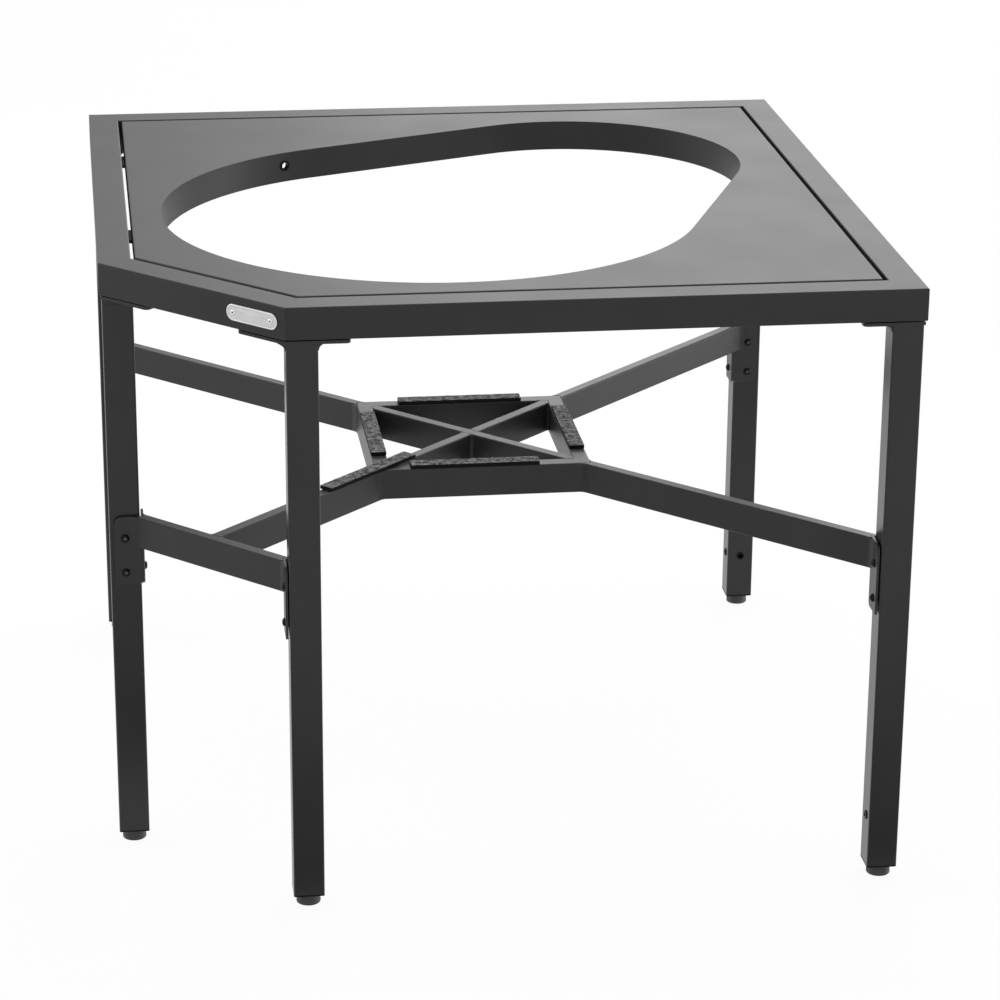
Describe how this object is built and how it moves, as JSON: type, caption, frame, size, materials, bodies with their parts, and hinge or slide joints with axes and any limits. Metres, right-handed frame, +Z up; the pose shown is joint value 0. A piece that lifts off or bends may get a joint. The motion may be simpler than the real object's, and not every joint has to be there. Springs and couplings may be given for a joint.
{
  "type": "grill frame module",
  "caption": "Corner frame module for an outdoor kitchen: tube rim on levelling legs, lower cradle for a round grill, and a drop-in top panel with a tear-drop cut-out.",
  "frame": {"origin": "on the floor, under the middle of the square plan", "axes": "+X to the right along the front rail, +Y to the rear, +Z up; the chamfered corner is at -X -Y"},
  "size_m": [0.97, 0.97, 0.77],
  "materials": {
    "powder_coat": "satin charcoal powder coat with a fine grain",
    "pad": "rough black strip",
    "foot_plastic": "dark moulded plastic",
    "black_steel": "black oxide steel",
    "zinc_steel": "bright zinc plate",
    "bare_plate": "bare satin sheet"
  },
  "bodies": {
    "frame": {"left_rail": "powder_coat", "chamfer_rail": "powder_coat", "front_rail": "powder_coat", "right_rail": "powder_coat", "rear_rail": "powder_coat", "panel_support_tabs": "powder_coat", "leg_rear_left": "powder_coat", "leg_chamfer_side": "powder_coat", "leg_chamfer_front": "powder_coat", "leg_front_right": "powder_coat", "leg_rear_right": "powder_coat", "leg_plate_rear_left": "powder_coat", "leg_plate_chamfer_side": "powder_coat", "leg_plate_chamfer_front": "powder_coat", "leg_plate_front_right": "powder_coat", "leg_plate_rear_right": "powder_coat", "corner_bracket_rear_left": "powder_coat", "corner_bracket_chamfer_side": "powder_coat", "corner_bracket_chamfer_front": "powder_coat", "corner_bracket_front_right": "powder_coat", "corner_bracket_rear_right": "powder_coat", "cradle_bar_left": "powder_coat", "cradle_bar_front": "powder_coat", "cradle_bar_right": "powder_coat", "cradle_bar_rear": "powder_coat", "brace_long": "powder_coat", "brace_halves": "powder_coat", "crossbar": "powder_coat", "arm_front": "powder_coat", "arm_rear_left": "powder_coat", "arm_front_right": "powder_coat", "arm_rear_right": "powder_coat", "pad_rear": "pad", "pad_front": "pad", "pad_left": "pad", "pad_right": "pad", "pad_front_arm": "pad", "nameplate": "bare_plate", "nameplate_rivets": "bare_plate", "leg_end_inserts": "foot_plastic", "bracket_bolts": "black_steel", "plate_bolts": "black_steel", "rivet_nuts": "black_steel"},
    "panel": {"top_panel": "powder_coat", "cutout_rim": "powder_coat", "rim_bushes": "black_steel"},
    "foot_rear_left": {"levelling_foot_rear_left": "foot_plastic", "foot_stud_rear_left": "zinc_steel"},
    "foot_chamfer_side": {"levelling_foot_chamfer_side": "foot_plastic", "foot_stud_chamfer_side": "zinc_steel"},
    "foot_chamfer_front": {"levelling_foot_chamfer_front": "foot_plastic", "foot_stud_chamfer_front": "zinc_steel"},
    "foot_front_right": {"levelling_foot_front_right": "foot_plastic", "foot_stud_front_right": "zinc_steel"},
    "foot_rear_right": {"levelling_foot_rear_right": "foot_plastic", "foot_stud_rear_right": "zinc_steel"}
  },
  "joints": [
    {"name": "panel_lift", "type": "slide", "parent": "frame", "child": "panel", "axis": [0, 0, 1], "range_m": [0, 0.06]},
    {"name": "foot_rear_left_level", "type": "slide", "parent": "frame", "child": "foot_rear_left", "axis": [0, 0, -1], "range_m": [0, 0.015]},
    {"name": "foot_chamfer_side_level", "type": "slide", "parent": "frame", "child": "foot_chamfer_side", "axis": [0, 0, -1], "range_m": [0, 0.015]},
    {"name": "foot_chamfer_front_level", "type": "slide", "parent": "frame", "child": "foot_chamfer_front", "axis": [0, 0, -1], "range_m": [0, 0.015]},
    {"name": "foot_front_right_level", "type": "slide", "parent": "frame", "child": "foot_front_right", "axis": [0, 0, -1], "range_m": [0, 0.015]},
    {"name": "foot_rear_right_level", "type": "slide", "parent": "frame", "child": "foot_rear_right", "axis": [0, 0, -1], "range_m": [0, 0.015]}
  ]
}
